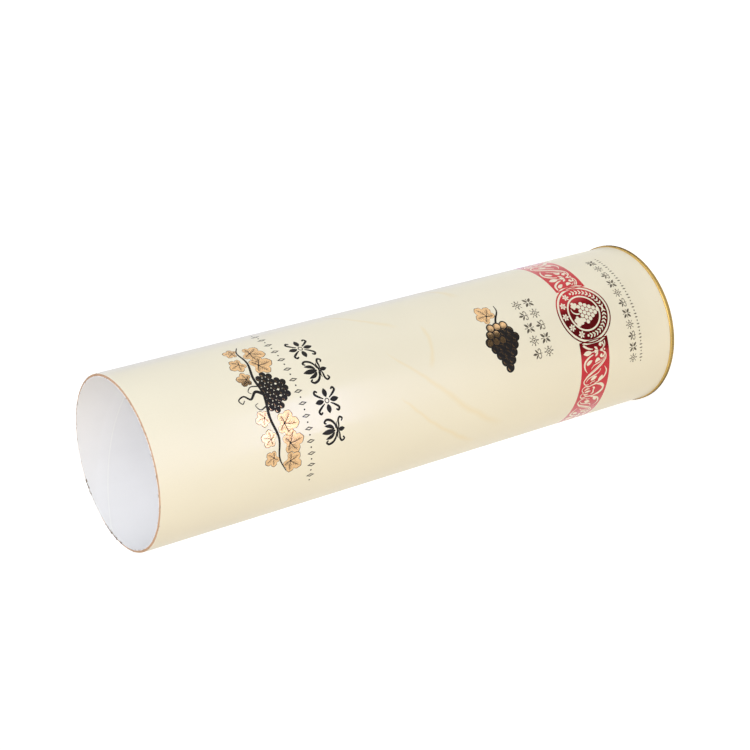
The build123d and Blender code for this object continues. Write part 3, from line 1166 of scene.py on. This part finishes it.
# Rows of the cards: radius in metres, then first and last azimuth in degrees from -Y towards +X
DARK_CARD = (
    (0.062, -37, 30), (0.085, -37, 30), (0.106, -37, 26), (0.122, -37, 22), (0.142, -37, 18),
    (0.190, -35, 19), (0.235, -35, 20), (0.330, -16, 28), (0.450, 4, 45), (0.700, 5, 46),
)
BRIGHT_CARD = ((0.44, -36, -6), (0.50, -42, 0), (0.62, -42, 2), (0.95, -42, 3))
FOOT_CARD = ((0.0469, -180, 180), (0.0498, -180, 180))
SIDE_CARD = ((0.08, 118, 172), (1.1, 118, 172))
BACK_CARD = ((1.2, 98, 242), (1.2, 98, 242))

# Lamps: azimuth from -Y towards +X and elevation in degrees, colour, and whether mirrors see it
LAMPS = {
    "key": (-9, 48, (1.0, 0.99, 0.97), True),
    "fill": (44, 46, (0.87, 0.94, 1.0), False),
    "warm": (-84, 20, (1.0, 0.80, 0.48), False),
    "cool": (105, 50, (0.60, 0.80, 1.0), False),
}
LAMP_SIZE = 1.8
LAMP_DISTANCE = 2.6
LIT_CENTRE = Vector((0, 0, 0.17))
FLOOR_HALF = 6.0


def studio_floor(studio):
    """A pale matt floor that keeps shadows and looks white, and can be looked through from below."""
    floor = Finish("studio_floor", Roughness=0.9, Specular_IOR_Level=0.0, Emission_Strength=1.0)
    look = floor.direct_look()
    pale = (studio.floor_tone,) * 3
    floor.feed("Base Color", floor.mix(look, shade((1.0, 0.89, 0.63), studio.floor_tone), pale))
    floor.feed("Emission Color", floor.mix(look, (0, 0, 0), (studio.floor_glow,) * 3))
    below = floor.node("ShaderNodeNewGeometry", output="Backfacing")
    clear = floor.node("ShaderNodeBsdfTransparent")
    both = floor.node("ShaderNodeMixShader", None, {0: below, 1: floor.principled, 2: clear})
    floor.tree.links.new(both.socket, floor.output.inputs["Surface"])
    return floor.material


def stage_piece(name, points, faces, material, seen_by_mirrors_only=False):
    mesh = bpy.data.meshes.new(name)
    mesh.from_pydata(points, [], faces)
    mesh.materials.append(material)
    piece = linked(name, mesh)
    for way in ("camera", "diffuse", "shadow", "transmission", "volume_scatter"):
        setattr(piece, f"visible_{way}", not seen_by_mirrors_only)


def card(name, rows, height, glow, tone):
    """A glowing card round the tube that only mirrors see.

    The height is one for the card or one for each row. The tone is a function that gives its colour.
    """
    face = Finish(name, Base_Color=(0, 0, 0, 1), Specular_IOR_Level=0.0, Emission_Color=(1, 1, 1, 1),
                  Emission_Strength=glow)
    face.feed("Emission Color", tone(face))
    radius, first, last = np.array(rows).T[..., None]
    angle = np.radians(first + (last - first) * np.linspace(0, 1, CARD_COLUMNS))
    points = around(radius, angle, np.reshape(height, (-1, 1)))
    faces = grid_faces(len(rows), CARD_COLUMNS).tolist()
    stage_piece(name, points.tolist(), faces, face.material, True)


def darker_outwards(face):
    """Dim where the seal mirrors it, and nearly black from 0.20 m on, where the pictures do."""
    far = face.between(face.round_parts()[1], 0.165, 0.20)
    return face.mix(far, (0.15, 0.15, 0.15), (0.04, 0.04, 0.04))


def brighter_outwards(face):
    """Little brighter than the floor up to 0.61 m from the tube, and full and cool from 0.70 m on.

    Only the front half of the tube mirrors this light. The point that mirrors a spot of the card lies
    one ray length back from the spot, and for points on the back half the card looks like the floor.
    """
    far = face.between(face.round_parts()[1], 0.61, 0.70)
    lit = face.mix(far, (0.125, 0.117, 0.103), (0.46, 0.50, 1.0))
    length = face.node("ShaderNodeLightPath", output="Ray Length")
    back = face.node("ShaderNodeNewGeometry", output="Incoming")
    back_y = face.node("ShaderNodeSeparateXYZ", sockets={0: back}, output="Y")
    front = face.between(0 - (face.parts()[1] + back_y * length), 0.004, 0.016)
    return face.mix(front, (0.060, 0.058, 0.052), lit)


def brighter_ahead(face):
    """Light in front of the tube and darker round its sides."""
    x, y, _ = face.parts()
    ahead = face.between(x * -0.42 - y * 0.91, 0.018, 0.046)
    return face.mix(ahead, (0.40, 0.40, 0.42), (0.59, 0.59, 0.59))


def pale_blue(face):
    """The cool, slightly uneven floor behind the tube on its right."""
    return face.mix(face.noise(3.0), (0.60, 0.64, 0.98), (0.66, 0.70, 1.0))


def dim_brown(face):
    """The dim, slightly uneven room far behind the tube."""
    return face.mix(face.noise(3.0), (0.10, 0.11, 0.30), (0.16, 0.17, 0.38))


def studio_world(studio):
    """White for the camera and mirrors, and the ambient light for everything else."""
    world = bpy.data.worlds.new("studio")
    bpy.context.scene.world = world
    world.use_nodes = True
    nodes = Nodes(world.node_tree)
    ambient, white = (
        nodes.node("ShaderNodeBackground", None, {"Color": (1, 1, 1, 1), "Strength": strength})
        for strength in (studio.ambient, 1.0)
    )
    sky = nodes.node("ShaderNodeMixShader", None, {0: nodes.direct_look(), 1: ambient, 2: white})
    nodes.node("ShaderNodeOutputWorld", None, {"Surface": sky})


def studio_lamp(name, power, azimuth, elevation, tint, mirrored):
    """A large soft lamp that faces the tube from an azimuth (from -Y towards +X) and an elevation."""
    light = bpy.data.lights.new(name, "AREA")
    light.shape = "SQUARE"
    light.size = LAMP_SIZE
    light.energy = power
    light.color = tint
    azimuth, elevation = math.radians(azimuth), math.radians(elevation)
    away = Vector((math.sin(azimuth), -math.cos(azimuth), math.tan(elevation))).normalized()
    lamp = linked(name, light)
    lamp.location = LIT_CENTRE + LAMP_DISTANCE * away
    lamp.rotation_mode = "QUATERNION"
    lamp.rotation_quaternion = (-away).to_track_quat("-Z", "Y")
    lamp.visible_glossy = mirrored


def build_stage(studio):
    """Floor, world, soft lamps, the cards that foil mirrors, and the photograph's camera."""
    half = FLOOR_HALF
    corners = [(-half, -half, 0), (half, -half, 0), (half, half, 0), (-half, half, 0)]
    stage_piece("floor", corners, [(0, 1, 2, 3)], studio_floor(studio))
    card("dark_card", DARK_CARD, 0.002, 1.0, darker_outwards)
    card("bright_card", BRIGHT_CARD, 0.003, studio.card_glow, brighter_outwards)
    card("foot_card", FOOT_CARD, 0.00005, 1.0, brighter_ahead)
    card("side_card", SIDE_CARD, 0.001, 1.4, pale_blue)
    card("back_card", BACK_CARD, (0.0, 0.62), 1.0, dim_brown)
    studio_world(studio)
    for name, look in LAMPS.items():
        studio_lamp(name, getattr(studio, f"{name}_power"), *look)

    eye = bpy.data.cameras.new("camera")
    eye.sensor_width = 36.0
    eye.lens = studio.lens
    eye.clip_start, eye.clip_end = 0.01, 50.0
    camera = linked("camera", eye)
    camera.location = studio.camera_place
    camera.rotation_mode = "QUATERNION"
    view = (Vector(studio.camera_aim) - Vector(studio.camera_place)).to_track_quat("-Z", "Y")
    camera.rotation_quaternion = view @ Quaternion((0, 0, 1), -studio.camera_roll)
    bpy.context.scene.camera = camera
    bpy.context.scene.view_settings.view_transform = "Standard"


# Operators


class TubeOperator:
    """What every operator of the tube shares."""

    bl_options = {"REGISTER", "UNDO"}

    def add(self, scene, *makers):
        """Makes pieces from the tube's sizes and colours."""
        for maker in makers:
            maker(scene.tube_sizes, scene.tube_colours)
        return {"FINISHED"}


class OBJECT_OT_tube_board(TubeOperator, bpy.types.Operator):
    """Add the wound board with its cut mouth and loose fibres"""

    bl_idname = "object.tube_board"
    bl_label = "Wound board"

    def execute(self, context):
        return self.add(context.scene, board_tube, mouth_fibres)


class OBJECT_OT_tube_wrap(TubeOperator, bpy.types.Operator):
    """Add the printed paper wrap"""

    bl_idname = "object.tube_wrap"
    bl_label = "Printed wrap"

    def execute(self, context):
        return self.add(context.scene, printed_wrap)


class OBJECT_OT_tube_liner(TubeOperator, bpy.types.Operator):
    """Add the white liner and the overlap of its spiral joint"""

    bl_idname = "object.tube_liner"
    bl_label = "White liner"

    def execute(self, context):
        return self.add(context.scene, inner_liner)


class OBJECT_OT_tube_end(TubeOperator, bpy.types.Operator):
    """Add the gold tinplate end"""

    bl_idname = "object.tube_end"
    bl_label = "Metal end"

    def execute(self, context):
        return self.add(context.scene, metal_end)


class OBJECT_OT_tube_band(TubeOperator, bpy.types.Operator):
    """Add the red foil band, its seal and the cream scrollwork"""

    bl_idname = "object.tube_band"
    bl_label = "Red band and seal"

    def execute(self, context):
        scene = context.scene
        red_band(scene.tube_sizes, scene.tube_colours, scene.tube_print)
        return {"FINISHED"}


class OBJECT_OT_tube_emblem(TubeOperator, bpy.types.Operator):
    """Add the gold garland and the picture of grapes"""

    bl_idname = "object.tube_emblem"
    bl_label = "Garland and grapes"

    def execute(self, context):
        return self.add(context.scene, emblem, grape_picture)


class OBJECT_OT_tube_ornaments(TubeOperator, bpy.types.Operator):
    """Add the black and grey ornaments"""

    bl_idname = "object.tube_ornaments"
    bl_label = "Ornaments"

    def execute(self, context):
        return self.add(context.scene, large_ornaments, small_ornaments)


class SCENE_OT_tube_stage(TubeOperator, bpy.types.Operator):
    """Add the floor, the light and the camera"""

    bl_idname = "scene.tube_stage"
    bl_label = "Stage"

    def execute(self, context):
        build_stage(context.scene.tube_studio)
        return {"FINISHED"}


OPERATORS = (
    OBJECT_OT_tube_board,
    OBJECT_OT_tube_wrap,
    OBJECT_OT_tube_liner,
    OBJECT_OT_tube_end,
    OBJECT_OT_tube_band,
    OBJECT_OT_tube_emblem,
    OBJECT_OT_tube_ornaments,
    SCENE_OT_tube_stage,
)
SETTINGS = {
    "tube_sizes": TubeSizes,
    "tube_print": PrintSizes,
    "tube_colours": TubeColours,
    "tube_studio": StudioSettings,
}


class VIEW3D_PT_bottle_tube(bpy.types.Panel):
    """Sidebar panel with the tube's settings and pieces"""

    bl_label = "Wine bottle tube"
    bl_space_type = "VIEW_3D"
    bl_region_type = "UI"
    bl_category = "Bottle tube"

    def draw(self, context):
        for operator in OPERATORS:
            self.layout.operator(operator.bl_idname)
        for name, group in SETTINGS.items():
            box = self.layout.box()
            for field in group.__annotations__:
                box.prop(getattr(context.scene, name), field)


CLASSES = (*SETTINGS.values(), *OPERATORS, VIEW3D_PT_bottle_tube)


def register():
    for made in CLASSES:
        bpy.utils.register_class(made)
    for name, group in SETTINGS.items():
        setattr(bpy.types.Scene, name, bpy.props.PointerProperty(type=group))


def unregister():
    for name in SETTINGS:
        delattr(bpy.types.Scene, name)
    for made in reversed(CLASSES):
        bpy.utils.unregister_class(made)


def main():
    """Registers the add-on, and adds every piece."""
    register()
    bpy.ops.object.tube_board()
    bpy.ops.object.tube_wrap()
    bpy.ops.object.tube_liner()
    bpy.ops.object.tube_end()
    bpy.ops.object.tube_band()
    bpy.ops.object.tube_emblem()
    bpy.ops.object.tube_ornaments()
    bpy.ops.scene.tube_stage()


if __name__ == "__main__":
    main()
